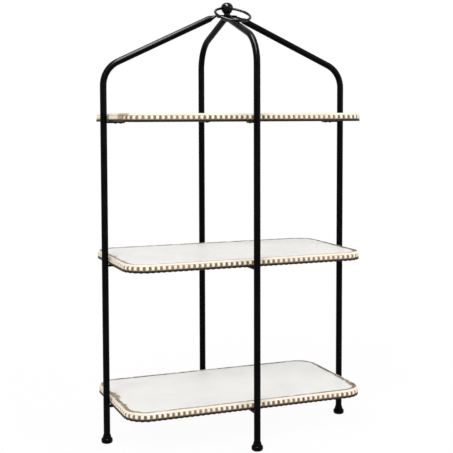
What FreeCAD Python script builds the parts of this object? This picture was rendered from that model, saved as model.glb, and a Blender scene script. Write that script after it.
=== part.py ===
import FreeCAD, Part
import math
import os

# Three-tier shelf: four bent tube posts, one at the middle of each side, carry three
# beaded wooden shelves on strap brackets and meet under a pear-shaped finial with a loose ring.
# Millimetres, +Z up. The origin is on the floor under the middle of the shelf.
# The front is -Y and the viewer's right is +X.

# Shelves
shelf_length = 764.0            # over the beads, left to right
shelf_depth = 410.0             # over the beads, front to back
board_corner_radius = 55.0
bottom_shelf_height = 137.5     # floor to the top of the lowest board
shelf_spacing = 428.25          # top to top

# Edging: a rounded lip, a row of half-round beads and a flat bottom band
edging_projection = 12.0        # board edge to the crown of a bead
lip_rise = 1.5                  # lip above the board
lip_flat = 4.5                  # width of the lip before it rounds over
lip_drop = 4.0                  # board top to the underside of the lip
bead_groove_height = 13.0
band_height = 6.5
bead_radius = 5.8
bead_pitch = 16.4
band_projection = 10.5

# Posts
tube_diameter = 20.0
tube_wall = 2.0
side_gap = 3.0                  # side tube to edging
end_gap = 18.0                  # front or back tube to edging
side_bend_radius = 78.0
end_bend_radius = 100.0
side_shoulder_rise = 134.0      # top shelf to where the side posts' straight lines would meet
end_shoulder_rise = 214.5       # the same for the front and back posts

# Hub: the flattened tube ends are stacked and bolted through
hub_rise = 287.0                # top shelf to the underside of the lowest tab
tab_width = 29.5
side_line_reach = 36.0          # hub axis to where a side tube's middle line meets its tab
end_line_reach = 22.0
side_tab_reach = 34.0           # hub axis to where a side tab is flat
end_tab_reach = 15.0
side_tab_overhang = 33.0        # hub axis to the tip of a side tab
end_tab_overhang = 14.5
side_taper_length = 24.0        # round tube to flat tab
end_taper_length = 12.0

# Hub bolt
bolt_diameter = 6.0
bolt_hole_clearance = 0.4
bolt_head_diameter = 12.0
bolt_head_height = 2.6
bolt_thread_in_finial = 15.0
washer_diameter = 18.0
washer_thickness = 1.0

# Finial
finial_radius = 18.6
finial_drop = 22.0              # widest point to where the lower half would close
finial_rise = 15.5              # widest point to the top
finial_neck_radius = 10.0
finial_foot_radius = 11.0
finial_foot_height = 1.4
finial_neck_height = 4.5        # foot to the egg-shaped part
finial_curve_steps = 8

# Ring through the finial
ring_radius = 54.0              # to the middle of the wire
ring_wire_diameter = 8.0
ring_hole_drop = 3.0            # the hole lies this far below the finial's widest point
ring_hole_clearance = 0.4
ring_rest_gap = 0.3             # wire to the front post at rest

# Brackets
strap_width = 16.0
strap_thickness = 4.0
strap_reach = 54.0              # post to tip
weld_seat = 0.8                 # how deep the strap is coped round the tube

# Bracket screws
screw_diameter = 4.0
screw_length = 12.0             # in the board
screw_hole_clearance = 0.25
screw_head_diameter = 8.0
screw_head_height = 1.4
screw_inset = 6.0               # least from the strap's tip or the board's edge
screw_spacing = 16.0

# Feet
foot_radius = 17.2
foot_base_radius = 12.0
foot_height = 26.0
foot_floor = 5.0                # tube end above the floor
foot_fit = 0.1                  # tube in its cap
foot_lip = 1.0                  # wall at the top of the cap
foot_bulge_low_share = 0.27     # heights on the cap as shares of foot_height
foot_bulge_high_share = 0.46
foot_shoulder_share = 0.58
foot_shoulder_wall = 4.0        # shoulder beyond the tube

overrun = 5.0                   # every cutter passes this far beyond its cut

tube_radius = tube_diameter / 2
bore_radius = tube_radius - tube_wall
tab_thickness = 2 * tube_wall
shelf_thickness = lip_drop + bead_groove_height + band_height
board_length = shelf_length - 2 * edging_projection
board_depth = shelf_depth - 2 * edging_projection
side_reach = shelf_length / 2 + side_gap + tube_radius
end_reach = shelf_depth / 2 + end_gap + tube_radius
shelf_tops = {
    "bottom": bottom_shelf_height,
    "middle": bottom_shelf_height + shelf_spacing,
    "top": bottom_shelf_height + 2 * shelf_spacing,
}
hub_height = shelf_tops["top"] + hub_rise
side_shoulder_height = shelf_tops["top"] + side_shoulder_rise
end_shoulder_height = shelf_tops["top"] + end_shoulder_rise
# Lowest tab first, each lying on the one below it
tab_order = ("front", "back", "right", "left")
tab_bottoms = {name: hub_height + level * tab_thickness for level, name in enumerate(tab_order)}
hub_top = hub_height + len(tab_order) * tab_thickness
finial_neck_angle = math.asin(finial_neck_radius / finial_radius)
finial_neck_top = hub_top + finial_foot_height + finial_neck_height
finial_centre = finial_neck_top + finial_drop * math.cos(finial_neck_angle)
ring_hole_height = finial_centre - ring_hole_drop
# Each post is modelled on the +X side and turned about Z to its own side
side_angles = {"right": 0.0, "back": 90.0, "left": 180.0, "front": 270.0}

axis_x = FreeCAD.Vector(1, 0, 0)
axis_y = FreeCAD.Vector(0, 1, 0)
axis_z = FreeCAD.Vector(0, 0, 1)
origin = FreeCAD.Vector(0, 0, 0)


def point(x, y, z):
    return FreeCAD.Vector(x, y, z)


def line(start, end):
    return Part.LineSegment(start, end).toShape()


def arc(start, middle, end):
    return Part.Arc(start, middle, end).toShape()


def turned(shape, angle):
    copy = shape.copy()
    copy.rotate(origin, axis_z, angle)
    return copy


def raised(shape, height):
    copy = shape.copy()
    copy.translate(point(0, 0, height))
    return copy


def is_side(name):
    return name in ("left", "right")


def reach_of(name):
    return side_reach if is_side(name) else end_reach


def export(shape, node):
    if not shape.isValid():
        raise ValueError(node + " is not a valid shape")
    shape.exportStep("parts/" + node + ".step")
    print(node, len(shape.Solids), "solid(s),", round(shape.Volume / 1000, 2), "cm3")


def slab(length, depth, corner, bottom, height):
    """A flat plate with rounded corners, centred on the Z axis."""
    plate = Part.makeBox(length, depth, height, point(-length / 2, -depth / 2, bottom))
    uprights = [edge for edge in plate.Edges if edge.BoundBox.ZLength > height / 2]
    return plate.makeFillet(corner, uprights)


def tube_path(reach, shoulder, bend_radius, line_reach, taper_reach, tab_z):
    """The post's middle line in the XZ plane, and the direction of its sloping run."""
    slope = point(line_reach - reach, 0, tab_z - shoulder)
    slope.normalize()
    turn = slope.getAngle(axis_z)
    tangent = bend_radius * math.tan(turn / 2)
    corner = point(reach, 0, shoulder)
    bend_start = corner - axis_z * tangent
    bend_end = corner + slope * tangent
    towards_centre = slope - axis_z
    towards_centre.normalize()
    bend_middle = corner + towards_centre * (bend_radius / math.cos(turn / 2) - bend_radius)
    to_taper = (taper_reach - line_reach) / -slope.x
    taper_start = point(line_reach, 0, tab_z) - slope * to_taper
    base = point(reach, 0, foot_floor)
    wire = Part.Wire([line(base, bend_start), arc(bend_start, bend_middle, bend_end),
                      line(bend_end, taper_start)])
    return wire, base, taper_start, slope


def quartered_circle(centre, normal, radius):
    """A circle of four arcs that start where the flat tab's outline has its corners."""
    across = axis_y
    up = normal.cross(across)
    corner_share = tab_thickness / tab_width
    low = math.asin(corner_share)
    angles = (low, math.pi - low, math.pi + low, 2 * math.pi - low, 2 * math.pi + low)

    def at(angle):
        return centre + across * (radius * math.cos(angle)) + up * (radius * math.sin(angle))

    edges = [arc(at(a), at((a + b) / 2), at(b)) for a, b in zip(angles, angles[1:])]
    return Part.Wire(edges)


def tab_outline(centre, normal):
    """The flattened section: two straight sides and two half-round ends."""
    across = axis_y
    up = normal.cross(across)
    half = (tab_width - tab_thickness) / 2
    rise = tab_thickness / 2

    def at(side, height, bulge):
        return centre + across * (side * (half + bulge)) + up * height

    edges = [
        line(at(1, rise, 0), at(-1, rise, 0)),
        arc(at(-1, rise, 0), at(-1, 0, rise), at(-1, -rise, 0)),
        line(at(-1, -rise, 0), at(1, -rise, 0)),
        arc(at(1, -rise, 0), at(1, 0, rise), at(1, rise, 0)),
    ]
    return Part.Wire(edges)


def tab_end(tip_centre, tab_z):
    """The rounded end of a tab: a disc with a half-round rim."""
    flat = tab_width / 2 - tab_thickness / 2
    rise = tab_thickness / 2
    x = tip_centre
    outline = Part.Wire([
        line(point(x, 0, tab_z - rise), point(x + flat, 0, tab_z - rise)),
        arc(point(x + flat, 0, tab_z - rise), point(x + flat + rise, 0, tab_z),
            point(x + flat, 0, tab_z + rise)),
        line(point(x + flat, 0, tab_z + rise), point(x, 0, tab_z + rise)),
        line(point(x, 0, tab_z + rise), point(x, 0, tab_z - rise)),
    ])
    return Part.Face(outline).revolve(point(x, 0, 0), axis_z, 360)


def bent_post(name):
    """A tube that rises, bends inward and slopes up to a flattened, drilled end."""
    shoulder = side_shoulder_height if is_side(name) else end_shoulder_height
    bend_radius = side_bend_radius if is_side(name) else end_bend_radius
    line_reach = side_line_reach if is_side(name) else end_line_reach
    tab_reach = side_tab_reach if is_side(name) else end_tab_reach
    overhang = side_tab_overhang if is_side(name) else end_tab_overhang
    taper_length = side_taper_length if is_side(name) else end_taper_length
    tab_z = tab_bottoms[name] + tab_thickness / 2
    path, base, taper_start, slope = tube_path(reach_of(name), shoulder, bend_radius,
                                               line_reach, tab_reach + taper_length, tab_z)
    inward = point(-1, 0, 0)
    outer = path.makePipeShell([Part.Wire(Part.makeCircle(tube_radius, base, axis_z))], True, False)
    bore = path.makePipeShell([Part.Wire(Part.makeCircle(bore_radius, base, axis_z))], True, False)
    tab_start = point(tab_reach, 0, tab_z)
    taper = Part.makeLoft([quartered_circle(taper_start, slope, tube_radius),
                           tab_outline(tab_start, inward)], True, True)
    tip_centre = tab_width / 2 - overhang
    flat = Part.Face(tab_outline(tab_start, inward)).extrude(inward * (tab_reach - tip_centre))
    post = outer.fuse([taper, flat, tab_end(tip_centre, tab_z)]).cut(bore)
    hole = Part.makeCylinder(bolt_diameter / 2 + bolt_hole_clearance, tab_thickness + 2 * overrun,
                             point(0, 0, tab_bottoms[name] - overrun))
    return turned(post.cut(hole).removeSplitter(), side_angles[name])


def foot_cap(name):
    """A turned cap pushed over the tube end: a bulb below a tapering collar."""
    low = foot_height * foot_bulge_low_share
    high = foot_height * foot_bulge_high_share
    shoulder = foot_height * foot_shoulder_share
    hole = tube_radius + foot_fit
    shoulder_radius = tube_radius + foot_shoulder_wall
    diagonal = math.sqrt(0.5)
    base_middle = point(foot_radius - (foot_radius - foot_base_radius) * (1 - diagonal), 0,
                        low * (1 - diagonal))
    shoulder_middle = point(shoulder_radius + (foot_radius - shoulder_radius) * diagonal, 0,
                            high + (shoulder - high) * diagonal)
    profile = Part.Wire([
        line(point(0, 0, 0), point(foot_base_radius, 0, 0)),
        arc(point(foot_base_radius, 0, 0), base_middle, point(foot_radius, 0, low)),
        line(point(foot_radius, 0, low), point(foot_radius, 0, high)),
        arc(point(foot_radius, 0, high), shoulder_middle, point(shoulder_radius, 0, shoulder)),
        line(point(shoulder_radius, 0, shoulder), point(hole + foot_lip, 0, foot_height)),
        line(point(hole + foot_lip, 0, foot_height), point(hole, 0, foot_height)),
        line(point(hole, 0, foot_height), point(hole, 0, foot_floor)),
        line(point(hole, 0, foot_floor), point(0, 0, foot_floor)),
        line(point(0, 0, foot_floor), point(0, 0, 0)),
    ])
    cap = Part.Face(profile).revolve(origin, axis_z, 360)
    cap.translate(point(reach_of(name), 0, 0))
    return turned(cap, side_angles[name])


def edging_profile(inner_x, top):
    """Section of the edging; inner_x is the board's edge and top the board's upper face."""
    crown = top + lip_rise
    under_lip = top - lip_drop
    round_over = crown - under_lip
    diagonal = math.sqrt(0.5)
    ground = edging_projection - bead_radius
    band_top = under_lip - bead_groove_height
    bottom = top - shelf_thickness

    def at(out, height):
        return point(inner_x + out, 0, height)

    lip_edge = lip_flat + round_over
    edges = [
        line(at(0, bottom), at(0, crown - lip_rise / 2)),
        arc(at(0, crown - lip_rise / 2), at(lip_rise / 2 * (1 - diagonal),
            crown - lip_rise / 2 * (1 - diagonal)), at(lip_rise / 2, crown)),
        line(at(lip_rise / 2, crown), at(lip_flat, crown)),
        arc(at(lip_flat, crown), at(lip_flat + round_over * diagonal,
            under_lip + round_over * diagonal), at(lip_edge, under_lip)),
        line(at(lip_edge, under_lip), at(ground, under_lip)),
        line(at(ground, under_lip), at(ground, band_top)),
        line(at(ground, band_top), at(band_projection, band_top)),
        line(at(band_projection, band_top), at(band_projection, bottom)),
        line(at(band_projection, bottom), at(0, bottom)),
    ]
    return Part.Face(Part.Wire(edges))


def bead_places(offset):
    """Evenly spaced points on the rounded rectangle that lies offset outside the board,
    with a gap at the middle of each side."""
    radius = board_corner_radius + offset
    run_x = board_length - 2 * board_corner_radius
    run_y = board_depth - 2 * board_corner_radius
    quarter = radius * math.pi / 2
    perimeter = 2 * (run_x + run_y) + 4 * quarter
    count = 4 * max(1, round(perimeter / (4 * bead_pitch)))
    half_x = board_length / 2 + offset
    half_y = board_depth / 2 + offset
    # Each side: start, direction, length, then the corner's centre and starting angle
    sides = [
        ((-run_x / 2, -half_y), (1, 0), run_x, (run_x / 2, -run_y / 2), -90),
        ((half_x, -run_y / 2), (0, 1), run_y, (run_x / 2, run_y / 2), 0),
        ((run_x / 2, half_y), (-1, 0), run_x, (-run_x / 2, run_y / 2), 90),
        ((-half_x, run_y / 2), (0, -1), run_y, (-run_x / 2, -run_y / 2), 180),
    ]
    places = []
    for number in range(count):
        # The first bead lies half a pitch past the middle of the front side
        along = (run_x / 2 + perimeter * (number + 1 / 2) / count) % perimeter
        for (sx, sy), (dx, dy), length, (cx, cy), angle in sides:
            if along <= length:
                places.append((sx + dx * along, sy + dy * along))
                break
            along -= length
            if along <= quarter:
                around = math.radians(angle) + along / radius
                places.append((cx + radius * math.cos(around), cy + radius * math.sin(around)))
                break
            along -= quarter
    return places


def shelf_edging(top):
    """The carved edging: the profile carried round the board, with its beads."""
    run_x = board_length - 2 * board_corner_radius
    run_y = board_depth - 2 * board_corner_radius
    pieces = []
    for length, width, angle in ((run_x, board_depth, -90), (run_y, board_length, 0),
                                 (run_x, board_depth, 90), (run_y, board_length, 180)):
        strip = edging_profile(width / 2, top)
        strip.translate(point(0, -length / 2, 0))
        pieces.append(turned(strip.extrude(point(0, length, 0)), angle))
    for cx, cy, angle in ((run_x / 2, -run_y / 2, -90), (run_x / 2, run_y / 2, 0),
                          (-run_x / 2, run_y / 2, 90), (-run_x / 2, -run_y / 2, 180)):
        corner = edging_profile(board_corner_radius, top).revolve(origin, axis_z, 90)
        corner = turned(corner, angle)
        corner.translate(point(cx, cy, 0))
        pieces.append(corner)
    ring = pieces[0].fuse(pieces[1:]).removeSplitter()
    ground = edging_projection - bead_radius
    middle = top - lip_drop - bead_groove_height / 2
    beads = [Part.makeSphere(bead_radius, point(x, y, middle)) for x, y in bead_places(ground)]
    board_space = slab(board_length, board_depth, board_corner_radius,
                       top - shelf_thickness - overrun, shelf_thickness + 2 * overrun)
    return ring.fuse(beads).cut(board_space)


def screw_places(name):
    """Distances from the hub axis to a bracket's screws: as many as fit under the board."""
    tip = reach_of(name) - tube_radius - strap_reach
    board_edge = (board_length if is_side(name) else board_depth) / 2
    count = max(1, 1 + math.floor((board_edge - tip - 2 * screw_inset) / screw_spacing))
    middle = (tip + board_edge) / 2
    return [middle + (number - (count - 1) / 2) * screw_spacing for number in range(count)]


def strap_bracket(name, top):
    """A flat steel strap under the shelf, its end coped and welded to the post."""
    reach = reach_of(name)
    length = tube_radius + strap_reach
    tip = reach - length
    upper = top - shelf_thickness
    lower = upper - strap_thickness
    strap = Part.makeBox(length, strap_width, strap_thickness, point(tip, -strap_width / 2, lower))
    corners = [edge for edge in strap.Edges
               if edge.BoundBox.ZLength > strap_thickness / 2
               and edge.BoundBox.XMax < tip + length / 2]
    strap = strap.makeFillet(strap_width / 4, corners)
    cutters = [
        Part.makeCylinder(tube_radius, strap_thickness + 2 * overrun,
                          point(reach, 0, lower - overrun)),
        Part.makeBox(tube_radius + overrun, strap_width + 2 * overrun,
                     strap_thickness + 2 * overrun,
                     point(reach - tube_radius + weld_seat, -strap_width / 2 - overrun,
                           lower - overrun)),
    ]
    for x in screw_places(name):
        cutters.append(Part.makeCylinder(screw_diameter / 2 + screw_hole_clearance,
                                         strap_thickness + 2 * overrun,
                                         point(x, 0, lower - overrun)))
    return turned(strap.cut(cutters), side_angles[name])


def bracket_screw(x, upper):
    """A pan-head wood screw, driven up through the strap into the board."""
    lower = upper - strap_thickness
    shank = Part.makeCylinder(screw_diameter / 2, strap_thickness + screw_length, point(x, 0, lower))
    head = Part.makeCylinder(screw_head_diameter / 2, screw_head_height,
                             point(x, 0, lower - screw_head_height))
    rim = [edge for edge in head.Edges if edge.BoundBox.ZMax < lower - screw_head_height / 2]
    return head.makeFillet(screw_head_height / 2, rim).fuse(shank).removeSplitter()


def bracket_screws(top):
    """All the screws that hold one shelf, as separate solids."""
    screws = []
    for name, angle in side_angles.items():
        for x in screw_places(name):
            screws.append(turned(bracket_screw(x, top - shelf_thickness), angle))
    return Part.makeCompound(screws)


def shelf_board(top):
    """The wooden board, drilled from below for its screws."""
    board = slab(board_length, board_depth, board_corner_radius, top - shelf_thickness,
                 shelf_thickness)
    pilots = []
    for name, angle in side_angles.items():
        for x in screw_places(name):
            pilot = Part.makeCylinder(screw_diameter / 2, screw_length + overrun,
                                      point(x, 0, top - shelf_thickness - overrun))
            pilots.append(turned(pilot, angle))
    return board.cut(pilots)


def hub_washer():
    outer = Part.makeCylinder(washer_diameter / 2, washer_thickness,
                              point(0, 0, hub_height - washer_thickness))
    hole = Part.makeCylinder(bolt_diameter / 2 + bolt_hole_clearance,
                             washer_thickness + 2 * overrun,
                             point(0, 0, hub_height - washer_thickness - overrun))
    return outer.cut(hole)


def hub_bolt():
    """Pan-head bolt, pushed up through the tabs into the finial."""
    seat = hub_height - washer_thickness
    head = Part.makeCylinder(bolt_head_diameter / 2, bolt_head_height,
                             point(0, 0, seat - bolt_head_height))
    rim = [edge for edge in head.Edges if edge.BoundBox.ZMax < seat - bolt_head_height / 2]
    shank = Part.makeCylinder(bolt_diameter / 2, hub_top + bolt_thread_in_finial - seat,
                              point(0, 0, seat))
    return head.makeFillet(bolt_head_height / 2, rim).fuse(shank).removeSplitter()


def ring_sag():
    """How far the ring's wire curves away over half the finial's width."""
    return ring_radius - math.sqrt(ring_radius ** 2 - finial_radius ** 2)


def ring_arm():
    """Finial axis to the ring's middle, with the wire's curve shared about the hole."""
    return ring_radius - ring_sag() / 2


def finial_curve(start, end, height):
    """Part of the finial's outline: an ellipse of this height above or below its widest point."""
    turns = [start + (end - start) * step / finial_curve_steps
             for step in range(finial_curve_steps + 1)]
    curve = Part.BSplineCurve()
    curve.interpolate([point(finial_radius * math.sin(turn), 0,
                             finial_centre - height * math.cos(turn)) for turn in turns])
    return curve.toShape()


def finial():
    """The pear-shaped finial: a flattened top on an egg-shaped lower part, neck and foot."""
    foot_top = hub_top + finial_foot_height
    profile = Part.Wire([
        line(point(0, 0, hub_top), point(finial_foot_radius, 0, hub_top)),
        line(point(finial_foot_radius, 0, hub_top), point(finial_foot_radius, 0, foot_top)),
        line(point(finial_foot_radius, 0, foot_top), point(finial_neck_radius, 0, foot_top)),
        line(point(finial_neck_radius, 0, foot_top), point(finial_neck_radius, 0, finial_neck_top)),
        finial_curve(finial_neck_angle, math.pi / 2, finial_drop),
        finial_curve(math.pi / 2, math.pi, finial_rise),
        line(point(0, 0, finial_centre + finial_rise), point(0, 0, hub_top)),
    ])
    body = Part.Face(profile).revolve(origin, axis_z, 360)
    thread = Part.makeCylinder(bolt_diameter / 2, bolt_thread_in_finial + overrun,
                               point(0, 0, hub_top - overrun))
    hole_radius = ring_wire_diameter / 2 + ring_sag() / 2 + ring_hole_clearance
    hole = Part.makeCylinder(hole_radius, 2 * (finial_radius + overrun),
                             point(-finial_radius - overrun, 0, ring_hole_height), axis_x)
    return body.cut([thread, hole])


def ring_rest_angle(name):
    """Angle below level at which the ring lies on the front or back post, in radians."""
    tab_z = tab_bottoms[name] + tab_thickness / 2
    rise = (tab_z - end_shoulder_height) / (end_reach - end_line_reach)
    line_at_axis = tab_z + rise * end_line_reach
    stand_off = (tube_radius + ring_wire_diameter / 2 + ring_rest_gap) * math.sqrt(1 + rise ** 2)
    far = ring_arm() + ring_radius
    height = ring_hole_height - line_at_axis - stand_off
    return math.atan(rise) + math.asin(height / (far * math.sqrt(1 + rise ** 2)))


def finial_ring():
    """The loose wire ring, passed through the finial and resting on the front post."""
    rest = ring_rest_angle("front")
    arm = point(0, -math.cos(rest), -math.sin(rest))
    middle = point(0, 0, ring_hole_height) + arm * ring_arm()
    return Part.makeTorus(ring_radius, ring_wire_diameter / 2, middle, axis_x.cross(arm))


def main():
    os.makedirs("parts", exist_ok=True)
    for name in side_angles:
        export(bent_post(name), "post_" + name)
        export(foot_cap(name), "foot_" + name)
    export(hub_washer(), "hub_washer")
    export(hub_bolt(), "hub_bolt")
    export(finial(), "finial")
    export(finial_ring(), "finial_ring")
    for level, top in shelf_tops.items():
        export(shelf_board(top), "board_" + level)
        for name in side_angles:
            export(strap_bracket(name, top), "bracket_" + level + "_" + name)
        export(bracket_screws(top), "bracket_screws_" + level)
    edging = shelf_edging(0)
    for level, top in shelf_tops.items():
        export(raised(edging, top), "edging_" + level)
    print("ring hole", ring_hole_height, "top", finial_centre + finial_rise)
    front_rest = math.degrees(ring_rest_angle("front"))
    back_rest = math.degrees(ring_rest_angle("back"))
    print("ring rests", front_rest, "degrees below level, swings", 180 + front_rest + back_rest)
    print("posts at", side_reach, end_reach, "beads per shelf", len(bead_places(0)))


main()
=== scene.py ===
import math

import bpy
import numpy as np
from mathutils import Matrix, Vector


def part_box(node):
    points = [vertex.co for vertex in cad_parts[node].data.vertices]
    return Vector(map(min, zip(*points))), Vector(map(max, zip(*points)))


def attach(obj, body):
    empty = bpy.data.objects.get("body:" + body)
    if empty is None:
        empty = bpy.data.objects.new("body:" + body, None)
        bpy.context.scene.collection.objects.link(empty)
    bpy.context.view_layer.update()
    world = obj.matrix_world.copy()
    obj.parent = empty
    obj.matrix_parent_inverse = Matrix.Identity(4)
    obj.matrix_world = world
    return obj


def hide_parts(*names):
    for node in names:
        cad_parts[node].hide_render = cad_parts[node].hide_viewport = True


# Three-tier shelf: white distressed boards with beaded edging, carried by four bent black
# tube posts that meet under a pear-shaped finial with a loose ring.
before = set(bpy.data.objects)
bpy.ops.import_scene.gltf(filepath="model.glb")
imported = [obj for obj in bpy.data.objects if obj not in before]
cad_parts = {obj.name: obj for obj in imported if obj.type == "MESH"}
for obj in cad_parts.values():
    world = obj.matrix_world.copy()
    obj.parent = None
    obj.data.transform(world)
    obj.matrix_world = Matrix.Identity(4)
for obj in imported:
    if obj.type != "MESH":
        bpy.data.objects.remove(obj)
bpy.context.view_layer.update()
print("frame loaded:", len(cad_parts), "nodes")

mm = 0.001
levels = ("bottom", "middle", "top")
sides = ("left", "right", "front", "back")


def linear(hexColour):
    # An sRGB hex colour as the linear values that the shaders work in
    part = np.array([int(hexColour[start:start + 2], 16) for start in (1, 3, 5)]) / 255
    lit = np.where(part <= 0.04045, part / 12.92, ((part + 0.055) / 1.055) ** 2.4)
    return (*lit.tolist(), 1.0)


def perSize(size):
    # A noise scale whose patches are about this long, in metres
    return 1 / size


def addNode(tree, kind, settings=None, inputs=None):
    # Adds a node, sets its properties, and sets or links its inputs
    made = tree.nodes.new(kind)
    for name, value in (settings or {}).items():
        setattr(made, name, value)
    for name, value in (inputs or {}).items():
        if isinstance(value, bpy.types.NodeSocket):
            tree.links.new(value, made.inputs[name])
        else:
            made.inputs[name].default_value = value
    return made


def newMaterial(name):
    made = bpy.data.materials.new(name)
    made.use_nodes = True
    made.node_tree.nodes.clear()
    return made, made.node_tree


def dress(nodeName, material):
    # Every slot of a carried-over piece takes the one finish
    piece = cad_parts[nodeName]
    for slot in piece.material_slots:
        slot.material = material


# Powder coat: polyester powder baked on steel tube. It flows out smooth with a faint
# orange peel, so the black stays deep and the bends carry long narrow highlights.
powderCoat = {
    "colour": "#010101",
    "dust": "#080706",          # a warm cast where dust lies
    "dustFrom": 0.45,
    "dustTo": 0.8,
    "dustShare": 0.4,
    "roughness": 0.24,
    "roughnessSpread": 0.05,
    "ior": 1.12,                # a resin's 1.5 greys under a white surround, this keeps it deep
    "peel": 2.2 * mm,           # real peel is about 1 mm, drawn coarser to show
    "peelDetail": 2.0,
    "peelDepth": 0.05 * mm,
    "peelStrength": 0.25,
    "cloud": 45 * mm,           # slow changes of gloss and dust along a tube
    "cloudDetail": 3.0,
    "cloudFrom": 0.3,
    "cloudTo": 0.7,
}


def makePowderCoat():
    material, tree = newMaterial("satinBlackPowderCoat")
    place = addNode(tree, "ShaderNodeTexCoord").outputs["Object"]
    peel = addNode(tree, "ShaderNodeTexNoise", None, {
        "Vector": place, "Scale": perSize(powderCoat["peel"]),
        "Detail": powderCoat["peelDetail"]})
    cloud = addNode(tree, "ShaderNodeTexNoise", None, {
        "Vector": place, "Scale": perSize(powderCoat["cloud"]),
        "Detail": powderCoat["cloudDetail"]})
    warmth = addNode(tree, "ShaderNodeMapRange", None, {
        "Value": cloud.outputs["Fac"], "From Min": powderCoat["dustFrom"],
        "From Max": powderCoat["dustTo"], "To Max": powderCoat["dustShare"]})
    colour = addNode(tree, "ShaderNodeMix", {"data_type": "RGBA"}, {
        0: warmth.outputs["Result"], 6: linear(powderCoat["colour"]),
        7: linear(powderCoat["dust"])})
    sheen = addNode(tree, "ShaderNodeMapRange", None, {
        "Value": cloud.outputs["Fac"], "From Min": powderCoat["cloudFrom"],
        "From Max": powderCoat["cloudTo"],
        "To Min": powderCoat["roughness"] - powderCoat["roughnessSpread"],
        "To Max": powderCoat["roughness"] + powderCoat["roughnessSpread"]})
    bump = addNode(tree, "ShaderNodeBump", None, {
        "Height": peel.outputs["Fac"], "Distance": powderCoat["peelDepth"],
        "Strength": powderCoat["peelStrength"]})
    shader = addNode(tree, "ShaderNodeBsdfPrincipled", None, {
        "Base Color": colour.outputs[2], "Roughness": sheen.outputs["Result"],
        "IOR": powderCoat["ior"], "Normal": bump.outputs["Normal"]})
    addNode(tree, "ShaderNodeOutputMaterial", None, {"Surface": shader.outputs["BSDF"]})
    return material


# Gloss enamel: sprayed and stoved over a turned ball and a bent wire. It flows out
# smooth, so it gives small bright highlights with a slightly wavy edge.
enamel = {
    "colour": "#020202",
    "roughness": 0.14,
    "roughnessSpread": 0.04,
    "ior": 1.2,
    "wave": 9 * mm,
    "waveDetail": 1.0,
    "waveDepth": 0.06 * mm,
    "waveStrength": 0.5,
    "smear": 6 * mm,            # patches a little duller or glossier than the rest
    "smearDetail": 4.0,
    "smearFrom": 0.35,
    "smearTo": 0.75,
}

# Polyethylene foot caps: injection moulded in a polished tool, glossy with faint flow marks.
footPlastic = {
    "colour": "#010101",
    "roughness": 0.28,
    "roughnessSpread": 0.05,
    "ior": 1.12,
    "wave": 14 * mm,
    "waveDetail": 1.0,
    "waveDepth": 0.08 * mm,
    "waveStrength": 0.5,
    "smear": 9 * mm,            # patches a little duller or glossier than the rest
    "smearDetail": 4.0,
    "smearFrom": 0.35,
    "smearTo": 0.75,
}


def makeEnamel(name, values):
    material, tree = newMaterial(name)
    place = addNode(tree, "ShaderNodeTexCoord").outputs["Object"]
    wave = addNode(tree, "ShaderNodeTexNoise", None, {
        "Vector": place, "Scale": perSize(values["wave"]), "Detail": values["waveDetail"]})
    smear = addNode(tree, "ShaderNodeTexNoise", None, {
        "Vector": place, "Scale": perSize(values["smear"]), "Detail": values["smearDetail"]})
    sheen = addNode(tree, "ShaderNodeMapRange", None, {
        "Value": smear.outputs["Fac"], "From Min": values["smearFrom"],
        "From Max": values["smearTo"],
        "To Min": values["roughness"] - values["roughnessSpread"],
        "To Max": values["roughness"] + values["roughnessSpread"]})
    bump = addNode(tree, "ShaderNodeBump", None, {
        "Height": wave.outputs["Fac"], "Distance": values["waveDepth"],
        "Strength": values["waveStrength"]})
    shader = addNode(tree, "ShaderNodeBsdfPrincipled", None, {
        "Base Color": linear(values["colour"]), "Roughness": sheen.outputs["Result"],
        "IOR": values["ior"], "Normal": bump.outputs["Normal"]})
    addNode(tree, "ShaderNodeOutputMaterial", None, {"Surface": shader.outputs["BSDF"]})
    return material


# Black oxide screws and bolt: steel blackened in a hot bath, a dull grey-black metal.
blackOxide = {
    "colour": "#2E2E31",
    "roughness": 0.42,
    "roughnessSpread": 0.1,
    "grain": 0.8 * mm,          # tumbling marks, drawn coarser than the real 0.2 mm
    "grainDetail": 3.0,
    "grainDepth": 0.02 * mm,
    "grainStrength": 0.7,
}


def makeBlackOxide():
    material, tree = newMaterial("blackOxideSteel")
    place = addNode(tree, "ShaderNodeTexCoord").outputs["Object"]
    grain = addNode(tree, "ShaderNodeTexNoise", None, {
        "Vector": place, "Scale": perSize(blackOxide["grain"]),
        "Detail": blackOxide["grainDetail"]})
    sheen = addNode(tree, "ShaderNodeMapRange", None, {
        "Value": grain.outputs["Fac"],
        "To Min": blackOxide["roughness"] - blackOxide["roughnessSpread"],
        "To Max": blackOxide["roughness"] + blackOxide["roughnessSpread"]})
    bump = addNode(tree, "ShaderNodeBump", None, {
        "Height": grain.outputs["Fac"], "Distance": blackOxide["grainDepth"],
        "Strength": blackOxide["grainStrength"]})
    shader = addNode(tree, "ShaderNodeBsdfPrincipled", None, {
        "Base Color": linear(blackOxide["colour"]), "Metallic": 1.0,
        "Roughness": sheen.outputs["Result"], "Normal": bump.outputs["Normal"]})
    addNode(tree, "ShaderNodeOutputMaterial", None, {"Surface": shader.outputs["BSDF"]})
    return material


# A rubbed place: its strength holds out to the first share of its half sizes and is gone
# at the second
rubbedPlace = {
    "fullTo": 0.2,
    "goneAt": 1.3,
}


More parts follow.
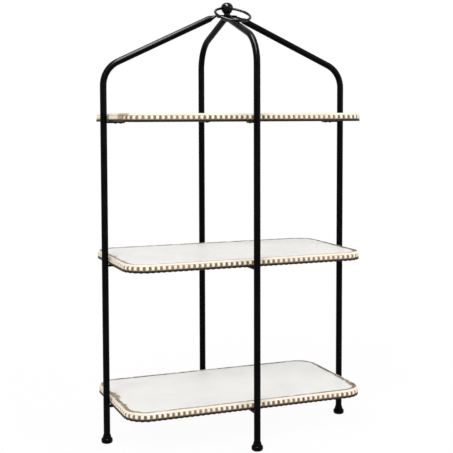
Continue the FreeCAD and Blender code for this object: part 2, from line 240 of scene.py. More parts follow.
def wornReach(tree, place, spots, height):
    # How strongly these rubbed places reach here: each is an ellipse on the shelf that fades
    # smoothly from its middle, and the strongest one counts
    reach = None
    for x, y, halfLength, halfWidth, strength in spots:
        local = addNode(tree, "ShaderNodeMapping", {"vector_type": "TEXTURE"}, {
            "Vector": place, "Location": (x * mm, y * mm, height),
            "Scale": (halfLength * mm, halfWidth * mm, 1)})
        distance = addNode(tree, "ShaderNodeVectorMath", {"operation": "LENGTH"}, {
            0: local.outputs["Vector"]})
        one = addNode(tree, "ShaderNodeMapRange", {"interpolation_type": "SMOOTHSTEP"}, {
            "Value": distance.outputs["Value"], "From Min": rubbedPlace["fullTo"],
            "From Max": rubbedPlace["goneAt"], "To Min": strength,
            "To Max": 0.0}).outputs["Result"]
        if reach is not None:
            one = addNode(tree, "ShaderNodeMath", {"operation": "MAXIMUM"}, {
                0: reach, 1: one}).outputs["Value"]
        reach = one
    return reach


# Whitewashed board: brushed white paint on wood, rubbed back by hand near the ends, so
# brown shows in streaks that run along the board, over faint brush marks.
board = {
    "white": "#F1F0ED",
    "shade": "#EAE9E7",         # where the coat is thin
    "peach": "#E9D9C6",         # thinner still, round a rubbed place
    "brown": "#A1876A",
    "darkBrown": "#77603F",
    "roughness": 0.5,
    "cornerRadius": 55 * mm,
    "cloud": 90 * mm,           # slow changes in the coat's thickness
    "cloudDetail": 4.0,
    "cloudFrom": 0.35,
    "cloudTo": 0.75,
    "brushLength": 70 * mm,
    "brushWidth": 2.4 * mm,     # bristle marks are about 0.5 mm, drawn coarser to show
    "brushDetail": 3.0,
    "brushDepth": 0.08 * mm,
    "brushStrength": 0.5,
    "streakLength": 34 * mm,
    "streakWidth": 8 * mm,
    "streakDetail": 5.0,
    "streakRoughness": 0.6,
    "streakFrom": 0.35,
    "streakTo": 0.62,
    "edgeWidth": 9 * mm,        # wear gathers this near the lip
    "edgeShare": 0.6,
    "peachFrom": 0.1,
    "peachTo": 0.4,
    "bareFrom": 0.24,
    "bareTo": 0.5,
    "line": "#6E645A",          # stain wiped into the joint with the lip
    "lineWidth": 4 * mm,
    "lineFrontExtra": 6 * mm,   # wiped less clean along the front
    "lineFade": 2 * mm,
    "linePatch": 35 * mm,
    "linePatchDetail": 3.0,
    "lineFrom": 0.3,
    "lineTo": 0.55,
    "lineShare": 1.0,
}

# Rubbed places on each board: middle x and y, half length and half width in mm, strength
boardSpots = {
    "bottom": ((-370, 15, 25, 60, 1.0), (-372, -80, 19, 60, 0.9), (-374, -150, 22, 50, 0.95),
               (-356, -176, 24, 20, 0.8), (-362, 120, 14, 60, 0.4),
               (368, 50, 10, 60, 0.45), (364, -140, 12, 50, 0.8), (335, -188, 40, 10, 0.8)),
    "middle": ((-370, 20, 26, 70, 0.62), (-376, -120, 16, 70, 0.5), (362, -90, 14, 90, 0.3)),
    "top": ((-368, -40, 22, 80, 0.6), (364, 60, 20, 80, 0.5), (40, 176, 90, 12, 0.3)),
}


def makeBoard(level):
    material, tree = newMaterial("whitewashedWood" + level.capitalize())
    place = addNode(tree, "ShaderNodeTexCoord").outputs["Object"]
    low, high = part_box("board_" + level)
    cloud = addNode(tree, "ShaderNodeTexNoise", None, {
        "Vector": place, "Scale": perSize(board["cloud"]), "Detail": board["cloudDetail"]})
    brushPlace = addNode(tree, "ShaderNodeMapping", None, {
        "Vector": place, "Scale": (perSize(board["brushLength"]), perSize(board["brushWidth"]),
                                   perSize(board["brushWidth"]))})
    brush = addNode(tree, "ShaderNodeTexNoise", None, {
        "Vector": brushPlace.outputs["Vector"], "Scale": 1.0, "Detail": board["brushDetail"]})
    streakPlace = addNode(tree, "ShaderNodeMapping", None, {
        "Vector": place, "Scale": (perSize(board["streakLength"]), perSize(board["streakWidth"]),
                                   perSize(board["streakWidth"]))})
    streak = addNode(tree, "ShaderNodeTexNoise", None, {
        "Vector": streakPlace.outputs["Vector"], "Scale": 1.0,
        "Detail": board["streakDetail"], "Roughness": board["streakRoughness"]})
    rubbed = wornReach(tree, place, boardSpots[level], high[2])

    # How far out towards the board's rounded outline: the length of |place| less the centre
    # of the corner, where negative parts count as 0. It is the corner's radius on the outline.
    halfX, halfY = high[0] - board["cornerRadius"], high[1] - board["cornerRadius"]
    wellAbove = 10.0            # metres, so that height counts as 0
    folded = addNode(tree, "ShaderNodeVectorMath", {"operation": "ABSOLUTE"}, {0: place})
    beyond = addNode(tree, "ShaderNodeVectorMath", {"operation": "SUBTRACT"}, {
        0: folded.outputs["Vector"], 1: (halfX, halfY, wellAbove)})
    outer = addNode(tree, "ShaderNodeVectorMath", {"operation": "MAXIMUM"}, {
        0: beyond.outputs["Vector"], 1: (0.0, 0.0, 0.0)})
    outward = addNode(tree, "ShaderNodeVectorMath", {"operation": "LENGTH"}, {
        0: outer.outputs["Vector"]})
    edge = addNode(tree, "ShaderNodeMapRange", {"interpolation_type": "SMOOTHSTEP"}, {
        "Value": outward.outputs["Value"],
        "From Min": board["cornerRadius"] - board["edgeWidth"],
        "From Max": board["cornerRadius"], "To Max": board["edgeShare"]})

    # The line of stain along the lip comes and goes, and is wider along the front
    across = addNode(tree, "ShaderNodeSeparateXYZ", None, {"Vector": place}).outputs["Y"]
    extra = addNode(tree, "ShaderNodeMapRange", None, {
        "Value": across, "From Min": float(low[1]), "From Max": float(high[1]),
        "To Min": board["lineFrontExtra"], "To Max": 0.0})
    reach = addNode(tree, "ShaderNodeMath", {"operation": "ADD"}, {
        0: outward.outputs["Value"], 1: extra.outputs["Result"]})
    nearLip = addNode(tree, "ShaderNodeMapRange", {"interpolation_type": "SMOOTHSTEP"}, {
        "Value": reach.outputs["Value"],
        "From Min": board["cornerRadius"] - board["lineWidth"],
        "From Max": board["cornerRadius"] - board["lineWidth"] + board["lineFade"]})
    patch = addNode(tree, "ShaderNodeTexNoise", None, {
        "Vector": place, "Scale": perSize(board["linePatch"]),
        "Detail": board["linePatchDetail"]})
    lineShare = addNode(tree, "ShaderNodeMapRange", None, {
        "Value": patch.outputs["Fac"], "From Min": board["lineFrom"],
        "From Max": board["lineTo"], "To Max": board["lineShare"]})
    line = addNode(tree, "ShaderNodeMath", {"operation": "MULTIPLY"}, {
        0: nearLip.outputs["Result"], 1: lineShare.outputs["Result"]})

    # Wood shows where a rubbed place and a streak meet, and more along the lip
    streakIn = addNode(tree, "ShaderNodeMapRange", None, {
        "Value": streak.outputs["Fac"], "From Min": board["streakFrom"],
        "From Max": board["streakTo"]})
    alongLip = addNode(tree, "ShaderNodeMath", {"operation": "MULTIPLY"}, {
        0: edge.outputs["Result"], 1: rubbed})
    amount = addNode(tree, "ShaderNodeMath", {"operation": "MULTIPLY_ADD"}, {
        0: rubbed, 1: streakIn.outputs["Result"], 2: alongLip.outputs["Value"]})
    thin = addNode(tree, "ShaderNodeMapRange", {"interpolation_type": "SMOOTHSTEP"}, {
        "Value": amount.outputs["Value"], "From Min": board["peachFrom"],
        "From Max": board["peachTo"]})
    bare = addNode(tree, "ShaderNodeMapRange", {"interpolation_type": "SMOOTHSTEP"}, {
        "Value": amount.outputs["Value"], "From Min": board["bareFrom"],
        "From Max": board["bareTo"]})

    tone = addNode(tree, "ShaderNodeMapRange", None, {
        "Value": cloud.outputs["Fac"], "From Min": board["cloudFrom"],
        "From Max": board["cloudTo"]})
    paint = addNode(tree, "ShaderNodeMix", {"data_type": "RGBA"}, {
        0: tone.outputs["Result"], 6: linear(board["white"]), 7: linear(board["shade"])})
    thinPaint = addNode(tree, "ShaderNodeMix", {"data_type": "RGBA"}, {
        0: thin.outputs["Result"], 6: paint.outputs[2], 7: linear(board["peach"])})
    wood = addNode(tree, "ShaderNodeMix", {"data_type": "RGBA"}, {
        0: brush.outputs["Fac"], 6: linear(board["darkBrown"]), 7: linear(board["brown"])})
    lined = addNode(tree, "ShaderNodeMix", {"data_type": "RGBA"}, {
        0: line.outputs["Value"], 6: thinPaint.outputs[2], 7: linear(board["line"])})
    colour = addNode(tree, "ShaderNodeMix", {"data_type": "RGBA"}, {
        0: bare.outputs["Result"], 6: lined.outputs[2], 7: wood.outputs[2]})
    bump = addNode(tree, "ShaderNodeBump", None, {
        "Height": brush.outputs["Fac"], "Distance": board["brushDepth"],
        "Strength": board["brushStrength"]})
    shader = addNode(tree, "ShaderNodeBsdfPrincipled", None, {
        "Base Color": colour.outputs[2], "Roughness": board["roughness"],
        "Normal": bump.outputs["Normal"]})
    addNode(tree, "ShaderNodeOutputMaterial", None, {"Surface": shader.outputs["BSDF"]})
    return material


# Beaded edging: a rounded lip, a row of half-round beads and a thin band below them.
edging = {
    "cornerRadius": 55 * mm,    # of the board that it runs round
    "projection": 12 * mm,      # board edge to a bead's crown
    "lipRise": 1.5 * mm,
    "lipFlat": 4.5 * mm,
    "lipDrop": 4.0 * mm,
    "lipSteps": 8,
    "grooveHeight": 13.0 * mm,
    "bandHeight": 6.5 * mm,
    "bandProjection": 10.5 * mm,
    "scallop": 1.2 * mm,        # the band's lower edge rises this much between beads
    "beadDepth": 5.8 * mm,
    "beadHalfLength": 5.3 * mm,
    "beadPitch": 16.4 * mm,
    "beadColumns": 12,
    "beadRows": 12,
    "lengthSquareness": 2.0,    # 2 is round, more is fuller
    "heightSquareness": 2.3,
    "cordHeight": 0.35 * mm,    # least height of the carved row between two beads
    "softening": 0.5 * mm,      # paint rounds each corner over this distance
    "softeningSteps": 3,
    "smallestBead": 0.93,       # hand-finished beads differ a little
    "sharpAngle": 50,
    "seed": 11,
}


def edgingPath(halfX, halfY, along):
    # The board's outline from the middle of its front side: runs and quarter circles, for
    # distances measured on the groove's ground. Gives each place's point and outward direction.
    radius = edging["cornerRadius"]
    ground = radius + edging["projection"] - edging["beadDepth"]
    runX, runY = 2 * (halfX - radius), 2 * (halfY - radius)
    quarter = ground * math.pi / 2
    lengths = np.array([runX / 2, quarter, runY, quarter, runX, quarter, runY, quarter, runX / 2])
    ends = np.cumsum(lengths)
    span = np.clip(np.searchsorted(ends, along, side="right"), 0, len(lengths) - 1)
    rest = along - (ends - lengths)[span]
    # Each span: its start, its direction (zero on a corner) and its starting angle
    startX = np.array([0, 1, 1, 1, 1, -1, -1, -1, -1]) * (halfX - radius)
    startX[[2]] += radius
    startX[[6]] -= radius
    startY = np.array([-1, -1, -1, 1, 1, 1, 1, -1, -1]) * (halfY - radius)
    startY[[0, 8]] -= radius
    startY[[4]] += radius
    stepX = np.array([1, 0, 0, 0, -1, 0, 0, 0, 1])
    stepY = np.array([0, 0, 1, 0, 0, 0, -1, 0, 0])
    angle = np.radians(np.array([-90, -90, 0, 0, 90, 90, 180, 180, 270]))
    corner = np.isin(span, (1, 3, 5, 7))
    turn = angle[span] + np.where(corner, rest / ground, 0)
    outX, outY = np.cos(turn), np.sin(turn)
    x = startX[span] + stepX[span] * rest + np.where(corner, radius * outX, 0)
    y = startY[span] + stepY[span] * rest + np.where(corner, radius * outY, 0)
    return np.stack([x, y], 1), np.stack([outX, outY], 1), ends[-1]


def softCorner(before, corner, after):
    # A quadratic curve in place of a sharp corner, starting and ending a little way from it
    before, corner, after = (np.array(point, dtype=float) for point in (before, corner, after))
    reach = edging["softening"]
    start = corner + (before - corner) * reach / max(np.linalg.norm(before - corner), 2 * reach)
    end = corner + (after - corner) * reach / max(np.linalg.norm(after - corner), 2 * reach)
    share = np.linspace(0, 1, edging["softeningSteps"])[:, None]
    return (1 - share) ** 2 * start + 2 * share * (1 - share) * corner + share ** 2 * end


def fuller(value, squareness):
    # A sine or cosine bent towards a square: its size to the power 2 / squareness
    return np.sign(value) * np.abs(value) ** (2 / squareness)


def makeEdging(level, material):
    _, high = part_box("board_" + level)
    top = high[2]
    ground = edging["projection"] - edging["beadDepth"]
    crown = edging["lipRise"]
    underLip = -edging["lipDrop"]
    bandTop = underLip - edging["grooveHeight"]
    bottom = bandTop - edging["bandHeight"]
    lipRadius = crown - underLip
    lipOut = edging["lipFlat"] + lipRadius
    bandOut = edging["bandProjection"]

    # Columns: a bead is sampled evenly by angle, with one column in the gap after it
    _, _, perimeter = edgingPath(high[0], high[1], np.zeros(1))
    count = 4 * round(perimeter / (4 * edging["beadPitch"]))
    pitch = perimeter / count
    angles = np.linspace(-math.pi / 2, math.pi / 2, edging["beadColumns"] + 1)
    offsets = np.append(fuller(np.sin(angles), edging["lengthSquareness"])
                        * edging["beadHalfLength"], pitch / 2)
    swell = np.append(fuller(np.cos(angles), edging["lengthSquareness"]), 0)
    toGap = np.abs(offsets) / (pitch / 2)
    along = ((np.arange(count)[:, None] + 0.5) * pitch + offsets[None, :]).reshape(-1)
    base, outward, _ = edgingPath(high[0], high[1], np.mod(along, perimeter))
    columns = len(along)

    # Rows above and below the beads, the same in every column, as (out, up)
    quarter = np.linspace(math.pi / 2, 0, edging["lipSteps"])[:-1]
    lip = np.stack([edging["lipFlat"] + lipRadius * np.cos(quarter),
                    underLip + lipRadius * np.sin(quarter)], 1)
    innerEdge = softCorner((0, 0), (0, crown), lip[0])
    lipEdge = softCorner(lip[-1], (lipOut, underLip), (ground, underLip))
    upper = np.concatenate([[(0, bottom), (0, 0)], innerEdge, lip, lipEdge, [(ground, underLip)]])
    lower = np.concatenate([[(ground, bandTop)],
                            softCorner((ground, bandTop), (bandOut, bandTop), (bandOut, bottom)),
                            softCorner((bandOut, bandTop), (bandOut, bottom), (0, bottom))])

    # Bead rows: a half superellipse from the lip to the band, as deep as the bead is here
    random = np.random.default_rng(edging["seed"])
    size = random.uniform(edging["smallestBead"], 1.0, count)[:, None]
    depth = np.maximum(edging["beadDepth"] * size * swell[None, :], edging["cordHeight"])
    sweep = np.linspace(math.pi / 2, -math.pi / 2, edging["beadRows"] + 1)
    halfHeight = (edging["grooveHeight"] - edging["softening"]) / 2
    beadOut = ground + depth.reshape(-1, 1) * fuller(np.cos(sweep), edging["heightSquareness"])
    beadUp = ((underLip + bandTop) / 2
              + halfHeight * fuller(np.sin(sweep), edging["heightSquareness"]))

    between = np.tile(1 - swell, count)[:, None]
    lowerUp = np.broadcast_to(lower[:, 1], (columns, len(lower))).copy()
    lowerUp[:, -edging["softeningSteps"]:] += edging["scallop"] * between
    out = np.concatenate([np.broadcast_to(upper[:, 0], (columns, len(upper))), beadOut,
                          np.broadcast_to(lower[:, 0], (columns, len(lower)))], 1)
    up = np.concatenate([np.broadcast_to(upper[:, 1], (columns, len(upper))),
                         np.broadcast_to(beadUp, (columns, len(beadUp))), lowerUp], 1)
    points = np.empty((columns, out.shape[1], 3))
    points[:, :, :2] = base[:, None, :] + outward[:, None, :] * out[:, :, None]
    points[:, :, 2] = top + up

    # Masks: hollow goes from 0 on a bead's middle to 1 between beads; drop is 0 on the lip's
    # crown and 1 underneath; rim is 1 on the lip's inner edge
    inGroove = np.zeros(out.shape[1])
    inGroove[len(upper) - 1:len(upper) + len(beadUp) + 1] = 1
    rim = np.zeros(out.shape[1])
    rim[1:3 + len(innerEdge)] = 1
    masks = {"hollow": np.tile(toGap, count)[:, None] * inGroove[None, :],
             "drop": (crown - up) / (crown - bottom),
             "rim": np.broadcast_to(rim, out.shape)}
    piece = gridPiece("beadedEdging" + level.capitalize(), points, material, masks)
    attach(piece, "frame")
    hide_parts("edging_" + level)
    return piece


def gridPiece(name, points, material, masks):
    # A closed grid surface: a rectangle of points whose two directions both wrap round
    columns, rows = points.shape[:2]
    column, row = np.meshgrid(np.arange(columns), np.arange(rows), indexing="ij")
    nextColumn, nextRow = (column + 1) % columns, (row + 1) % rows
    faces = np.stack([column * rows + row, column * rows + nextRow,
                      nextColumn * rows + nextRow, nextColumn * rows + row], -1).reshape(-1, 4)
    mesh = bpy.data.meshes.new(name)
    mesh.from_pydata(points.reshape(-1, 3).tolist(), [], faces.tolist())
    for maskName, values in masks.items():
        mask = mesh.attributes.new(maskName, "FLOAT", "POINT")
        mask.data.foreach_set("value", values.reshape(-1).astype(np.float32))
    mesh.shade_smooth()
    mesh.set_sharp_from_angle(angle=math.radians(edging["sharpAngle"]))
    mesh.materials.append(material)
    piece = bpy.data.objects.new(name, mesh)
    bpy.context.scene.collection.objects.link(piece)
    return piece


# Distressed edging: cream paint over brown-stained carving, wiped while wet, so the stain
# stays between the beads, along the lip's inner edge and under the lower edge. The lower
# part of each bead and the lower edge are also painted darker as shade.
edgingPaint = {
    "cream": "#F4EBDB",
    "warm": "#EFE1CE",          # thinner cream that lets some brown through
    "hollowDark": "#75654C",
    "hollowLight": "#A8987E",
    "tint": "#8C7558",          # stain, and painted shade on the lower part of each bead
    # near black along the lower edge: stain, and painted shadow under the beads
    "lowEdge": "#1B1107",
    "line": "#7C7268",
    # wood showing through on rubbed places, and painted shade at the top lip's left front corner
    "tan": "#A88C6A",
    "roughness": 0.55,
    "ior": 1.3,                 # flat paint, so the stained hollows stay dark
    "cloud": 60 * mm,           # slow changes in the coat's thickness
    "cloudDetail": 3.0,
    "cloudFrom": 0.35,
    "cloudTo": 0.7,
    "speck": 3.5 * mm,          # lumps in brushed paint
    "speckDetail": 4.0,
    "speckDepth": 0.12 * mm,
    "speckStrength": 0.5,
    "rubLength": 22 * mm,       # patches where the lip is handled
    "rubDetail": 5.0,
    "rubRoughness": 0.65,
    "spotHalfWidth": 4.4 * mm,  # each hollow holds a round spot of stain
    "spotHalfHeight": 6.4 * mm,
    "spotRagged": 0.5,
    "spotFrom": 0.7,
    "spotTo": 1.2,
    "tintFrom": 0.54,
    "tintTo": 0.76,
    "tintShare": 0.8,
    "lowFrom": 0.7,
    "lowTo": 0.77,
    "lowRagged": 0.06,
    "lineFrom": 0.3,
    "lineTo": 0.55,
    "tanFrom": 0.2,
    "tanTo": 0.5,
    "tanShare": 0.85,
}

# Rubbed places on each lip, as for the boards; the top lip's place at its left front corner also
# stands for painted shade on that end
lipSpots = {
    "bottom": ((-386, 60, 16, 60, 0.7), (-380, -150, 16, 40, 0.3), (384, 60, 16, 90, 0.4)),
    "middle": ((-384, 0, 16, 120, 0.5), (370, -60, 16, 120, 0.3)),
    "top": ((-378, -140, 26, 70, 1.0), (-386, 60, 14, 120, 0.6), (378, 0, 16, 120, 0.3)),
}


def makeEdgingPaint(level):
    material, tree = newMaterial("distressedCreamPaint" + level.capitalize())
    place = addNode(tree, "ShaderNodeTexCoord").outputs["Object"]
    _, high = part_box("board_" + level)
    hollow = addNode(tree, "ShaderNodeAttribute", {"attribute_name": "hollow"}).outputs["Fac"]
    drop = addNode(tree, "ShaderNodeAttribute", {"attribute_name": "drop"}).outputs["Fac"]
    rim = addNode(tree, "ShaderNodeAttribute", {"attribute_name": "rim"}).outputs["Fac"]
    cloud = addNode(tree, "ShaderNodeTexNoise", None, {
        "Vector": place, "Scale": perSize(edgingPaint["cloud"]),
        "Detail": edgingPaint["cloudDetail"]})
    speck = addNode(tree, "ShaderNodeTexNoise", None, {
        "Vector": place, "Scale": perSize(edgingPaint["speck"]),
        "Detail": edgingPaint["speckDetail"]})
    rub = addNode(tree, "ShaderNodeTexNoise", None, {
        "Vector": place, "Scale": perSize(edgingPaint["rubLength"]),
        "Detail": edgingPaint["rubDetail"], "Roughness": edgingPaint["rubRoughness"]})
    wearAndShade = wornReach(tree, place, lipSpots[level], high[2])

    # A round spot of stain in each hollow, with a ragged rim: distance from its middle, 1 on
    # the rim, from how far along and how far down this place lies
    height = edging["lipRise"] + edging["lipDrop"] + edging["grooveHeight"] + edging["bandHeight"]
    middle = (edging["lipRise"] + edging["lipDrop"] + edging["grooveHeight"] / 2) / height
    wide = edging["beadPitch"] / 2 / edgingPaint["spotHalfWidth"]
    tall = height / edgingPaint["spotHalfHeight"]
    aside = addNode(tree, "ShaderNodeMath", {"operation": "MULTIPLY_ADD"}, {
        0: hollow, 1: -wide, 2: wide})
    below = addNode(tree, "ShaderNodeMath", {"operation": "MULTIPLY_ADD"}, {
        0: drop, 1: tall, 2: -middle * tall})
    fromSpot = addNode(tree, "ShaderNodeCombineXYZ", None, {
        "X": aside.outputs["Value"], "Y": below.outputs["Value"]})
    distance = addNode(tree, "ShaderNodeVectorMath", {"operation": "LENGTH"}, {
        0: fromSpot.outputs["Vector"]})
    ragged = addNode(tree, "ShaderNodeMath", {"operation": "MULTIPLY_ADD"}, {
        0: speck.outputs["Fac"], 1: edgingPaint["spotRagged"], 2: distance.outputs["Value"]})
    ragHalf = edgingPaint["spotRagged"] / 2
    hollowStain = addNode(tree, "ShaderNodeMapRange", {"interpolation_type": "SMOOTHSTEP"}, {
        "Value": ragged.outputs["Value"], "From Min": edgingPaint["spotFrom"] + ragHalf,
        "From Max": edgingPaint["spotTo"] + ragHalf, "To Min": 1.0, "To Max": 0.0})
    # Stain and painted shade on the lower part of each bead, darker towards the bottom
    tint = addNode(tree, "ShaderNodeMapRange", {"interpolation_type": "SMOOTHSTEP"}, {
        "Value": drop, "From Min": edgingPaint["tintFrom"], "From Max": edgingPaint["tintTo"],
        "To Max": edgingPaint["tintShare"]})
    # The lower edge is painted near black: the darkest stain, and painted shadow under the beads
    raggedDrop = addNode(tree, "ShaderNodeMath", {"operation": "MULTIPLY_ADD"}, {
        0: speck.outputs["Fac"], 1: edgingPaint["lowRagged"], 2: drop})
    dropHalf = edgingPaint["lowRagged"] / 2
    lowEdge = addNode(tree, "ShaderNodeMapRange", {"interpolation_type": "SMOOTHSTEP"}, {
        "Value": raggedDrop.outputs["Value"], "From Min": edgingPaint["lowFrom"] + dropHalf,
        "From Max": edgingPaint["lowTo"] + dropHalf})
    # A line that comes and goes along the lip's inner edge, stronger in rubbed places
    lineHere = addNode(tree, "ShaderNodeMath", {"operation": "ADD"}, {
        0: rub.outputs["Fac"], 1: wearAndShade})
    lineShare = addNode(tree, "ShaderNodeMapRange", None, {
        "Value": lineHere.outputs["Value"], "From Min": edgingPaint["lineFrom"],
        "From Max": edgingPaint["lineTo"]})
    line = addNode(tree, "ShaderNodeMath", {"operation": "MULTIPLY"}, {
        0: rim, 1: lineShare.outputs["Result"]})
    # Tan shows through on the lip in the rubbed places, and at the top lip's left front corner it
    # is also painted shade
    tanHere = addNode(tree, "ShaderNodeMath", {"operation": "MULTIPLY"}, {
        0: rub.outputs["Fac"], 1: wearAndShade})
    tan = addNode(tree, "ShaderNodeMapRange", {"interpolation_type": "SMOOTHSTEP"}, {
        "Value": tanHere.outputs["Value"], "From Min": edgingPaint["tanFrom"],
        "From Max": edgingPaint["tanTo"], "To Max": edgingPaint["tanShare"]})

    tone = addNode(tree, "ShaderNodeMapRange", None, {
        "Value": cloud.outputs["Fac"], "From Min": edgingPaint["cloudFrom"],
        "From Max": edgingPaint["cloudTo"]})
    paint = addNode(tree, "ShaderNodeMix", {"data_type": "RGBA"}, {
        0: tone.outputs["Result"], 6: linear(edgingPaint["cream"]),
        7: linear(edgingPaint["warm"])})
    stainColour = addNode(tree, "ShaderNodeMix", {"data_type": "RGBA"}, {
        0: tone.outputs["Result"], 6: linear(edgingPaint["hollowDark"]),
        7: linear(edgingPaint["hollowLight"])})
    withTan = addNode(tree, "ShaderNodeMix", {"data_type": "RGBA"}, {
        0: tan.outputs["Result"], 6: paint.outputs[2], 7: linear(edgingPaint["tan"])})
    withLine = addNode(tree, "ShaderNodeMix", {"data_type": "RGBA"}, {
        0: line.outputs["Value"], 6: withTan.outputs[2], 7: linear(edgingPaint["line"])})
    withTint = addNode(tree, "ShaderNodeMix", {"data_type": "RGBA"}, {
        0: tint.outputs["Result"], 6: withLine.outputs[2], 7: linear(edgingPaint["tint"])})
    withStain = addNode(tree, "ShaderNodeMix", {"data_type": "RGBA"}, {
        0: hollowStain.outputs["Result"], 6: withTint.outputs[2], 7: stainColour.outputs[2]})
    colour = addNode(tree, "ShaderNodeMix", {"data_type": "RGBA"}, {
        0: lowEdge.outputs["Result"], 6: withStain.outputs[2], 7: linear(edgingPaint["lowEdge"])})
    bump = addNode(tree, "ShaderNodeBump", None, {
        "Height": speck.outputs["Fac"], "Distance": edgingPaint["speckDepth"],
        "Strength": edgingPaint["speckStrength"]})
    shader = addNode(tree, "ShaderNodeBsdfPrincipled", None, {
        "Base Color": colour.outputs[2], "Roughness": edgingPaint["roughness"],
        "IOR": edgingPaint["ior"], "Normal": bump.outputs["Normal"]})
    addNode(tree, "ShaderNodeOutputMaterial", None, {"Surface": shader.outputs["BSDF"]})
    return material


def dressSteelwork():
    coat = makePowderCoat()
    oxide = makeBlackOxide()
    gloss = makeEnamel("glossBlackEnamel", enamel)
    plastic = makeEnamel("mouldedFootPlastic", footPlastic)
    for side in sides:
        dress("post_" + side, coat)
        dress("foot_" + side, plastic)
        for level in levels:
            dress("bracket_" + level + "_" + side, coat)
    for level in levels:
        dress("bracket_screws_" + level, oxide)
    for name in ("hub_washer", "hub_bolt"):
        dress(name, oxide)
    for name in ("finial", "finial_ring"):
        dress(name, gloss)
    print("steelwork dressed")


def dressShelves():
    for level in levels:
        dress("board_" + level, makeBoard(level))
        piece = makeEdging(level, makeEdgingPaint(level))
        print("edging", level, len(piece.data.polygons), "faces")


# Stage: a white floor that keeps a soft shadow, and a white surround
stage = {
    "floorHalf": 30.0,
    "floorColour": "#FAFAFA",
    "floorGlow": 0.94,          # share of plain white that the camera sees near the shelf
    "glowFrom": 0.5,            # metres from its middle, where the glow starts to grow
    "glowTo": 2.2,
    "worldLight": 0.77,
    "worldColour": "#FFFFFF",
}


def seenDirectly(tree):
    # 1 for camera, glossy and transmission rays, which see the white background
    path = addNode(tree, "ShaderNodeLightPath")
    seen = addNode(tree, "ShaderNodeMath", {"operation": "MAXIMUM"}, {
        0: path.outputs["Is Camera Ray"], 1: path.outputs["Is Glossy Ray"]})
    return addNode(tree, "ShaderNodeMath", {"operation": "MAXIMUM"}, {
        0: seen.outputs["Value"], 1: path.outputs["Is Transmission Ray"]}).outputs["Value"]


def makeStage():
    half = stage["floorHalf"]
    mesh = bpy.data.meshes.new("studioFloor")
    mesh.from_pydata([(-half, -half, 0), (half, -half, 0), (half, half, 0), (-half, half, 0)],
                     [], [(0, 1, 2, 3)])
    floor = bpy.data.objects.new("studioFloor", mesh)
    bpy.context.scene.collection.objects.link(floor)
    material, tree = newMaterial("studioFloorPaint")
    place = addNode(tree, "ShaderNodeTexCoord").outputs["Object"]
    away = addNode(tree, "ShaderNodeVectorMath", {"operation": "LENGTH"}, {0: place})
    share = addNode(tree, "ShaderNodeMapRange", {"interpolation_type": "SMOOTHSTEP"}, {
        "Value": away.outputs["Value"], "From Min": stage["glowFrom"],
        "From Max": stage["glowTo"], "To Min": stage["floorGlow"], "To Max": 1.0})
    glow = addNode(tree, "ShaderNodeMath", {"operation": "MULTIPLY"}, {
        0: seenDirectly(tree), 1: share.outputs["Result"]})
    matte = addNode(tree, "ShaderNodeBsdfDiffuse", None, {"Color": linear(stage["floorColour"])})
    white = addNode(tree, "ShaderNodeEmission", None, {"Color": (1, 1, 1, 1), "Strength": 1.0})
    mixed = addNode(tree, "ShaderNodeMixShader", None, {
        0: glow.outputs["Value"], 1: matte.outputs["BSDF"], 2: white.outputs["Emission"]})
    addNode(tree, "ShaderNodeOutputMaterial", None, {"Surface": mixed.outputs["Shader"]})
    mesh.materials.append(material)

    world = bpy.data.worlds.new("studioWorld")
    bpy.context.scene.world = world
    world.use_nodes = True
    tree = world.node_tree
    tree.nodes.clear()
    soft = addNode(tree, "ShaderNodeBackground", None, {
        "Color": linear(stage["worldColour"]), "Strength": stage["worldLight"]})
    white = addNode(tree, "ShaderNodeBackground", None, {"Color": (1, 1, 1, 1), "Strength": 1.0})
    mixed = addNode(tree, "ShaderNodeMixShader", None, {
        0: seenDirectly(tree), 1: soft.outputs["Background"], 2: white.outputs["Background"]})
    addNode(tree, "ShaderNodeOutputWorld", None, {"Surface": mixed.outputs["Shader"]})
    print("stage made")


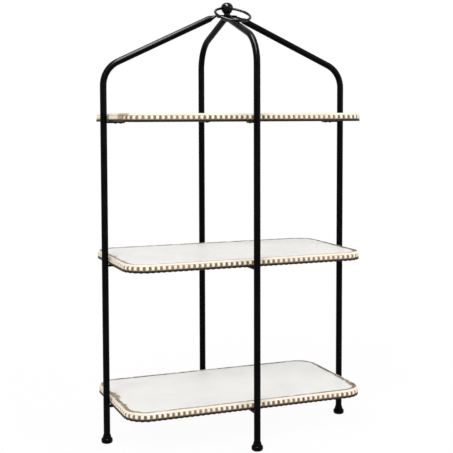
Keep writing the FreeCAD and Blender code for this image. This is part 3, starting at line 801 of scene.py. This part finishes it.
# Lamps: place and aim in metres, width and length in metres, watts
lamps = {
    "keyLamp": ((-2.4, -2.6, 3.4), (0, 0, 0.6), (1.8, 1.8), 66),
    "fillLamp": ((2.8, -2.4, 1.8), (0, 0, 0.6), (2.0, 2.0), 40),
    "stripLamp": ((-0.52, -1.3, 3.25), (-0.52, -1.3, 0), (0.75, 2.9), 580),
}
steelOnly = ("stripLamp",)      # hung close above and flagged off the white shelves


def makeLamps():
    steelwork = bpy.data.collections.new("blackSteelwork")
    for name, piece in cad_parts.items():
        if not name.startswith(("board_", "edging_")):
            steelwork.objects.link(piece)
    for name, (place, aim, size, watts) in lamps.items():
        data = bpy.data.lights.new(name, "AREA")
        data.shape = "RECTANGLE"
        data.size, data.size_y = size
        data.energy = watts
        lamp = bpy.data.objects.new(name, data)
        lamp.location = place
        lamp.rotation_euler = (Vector(aim) - Vector(place)).to_track_quat("-Z", "Y").to_euler()
        lamp.visible_camera = False
        if name in steelOnly:
            lamp.light_linking.receiver_collection = steelwork
        bpy.context.scene.collection.objects.link(lamp)
    print("lamps made")


# Camera: stands to the left of the front and looks slightly down, at eye height
camera = {
    "place": (-1.1315, -2.8496, 0.9868),
    "yaw": 21.467,              # degrees to the right of straight ahead
    "pitch": 3.789,             # degrees below level
    "roll": -0.168,
    "lens": 78.13,
    "sensor": 36.0,
    "shiftX": 0.00498,
    "shiftY": -0.1,
}


def makeCamera():
    yaw, pitch, roll = (math.radians(camera[name]) for name in ("yaw", "pitch", "roll"))
    forward = Vector((math.sin(yaw) * math.cos(pitch), math.cos(yaw) * math.cos(pitch),
                      -math.sin(pitch)))
    level = Vector((math.cos(yaw), -math.sin(yaw), 0))
    upright = level.cross(forward)
    right = level * math.cos(roll) + upright * math.sin(roll)
    up = upright * math.cos(roll) - level * math.sin(roll)
    data = bpy.data.cameras.new("mainCamera")
    data.lens = camera["lens"]
    data.sensor_width = camera["sensor"]
    data.shift_x = camera["shiftX"]
    data.shift_y = camera["shiftY"]
    made = bpy.data.objects.new("mainCamera", data)
    turn = Matrix((right, up, -forward)).transposed().to_4x4()
    made.matrix_world = Matrix.Translation(camera["place"]) @ turn
    bpy.context.scene.collection.objects.link(made)
    bpy.context.scene.camera = made
    print("camera made")


makeCamera()
makeStage()
makeLamps()
dressSteelwork()
dressShelves()
bpy.context.scene.view_settings.view_transform = "Standard"
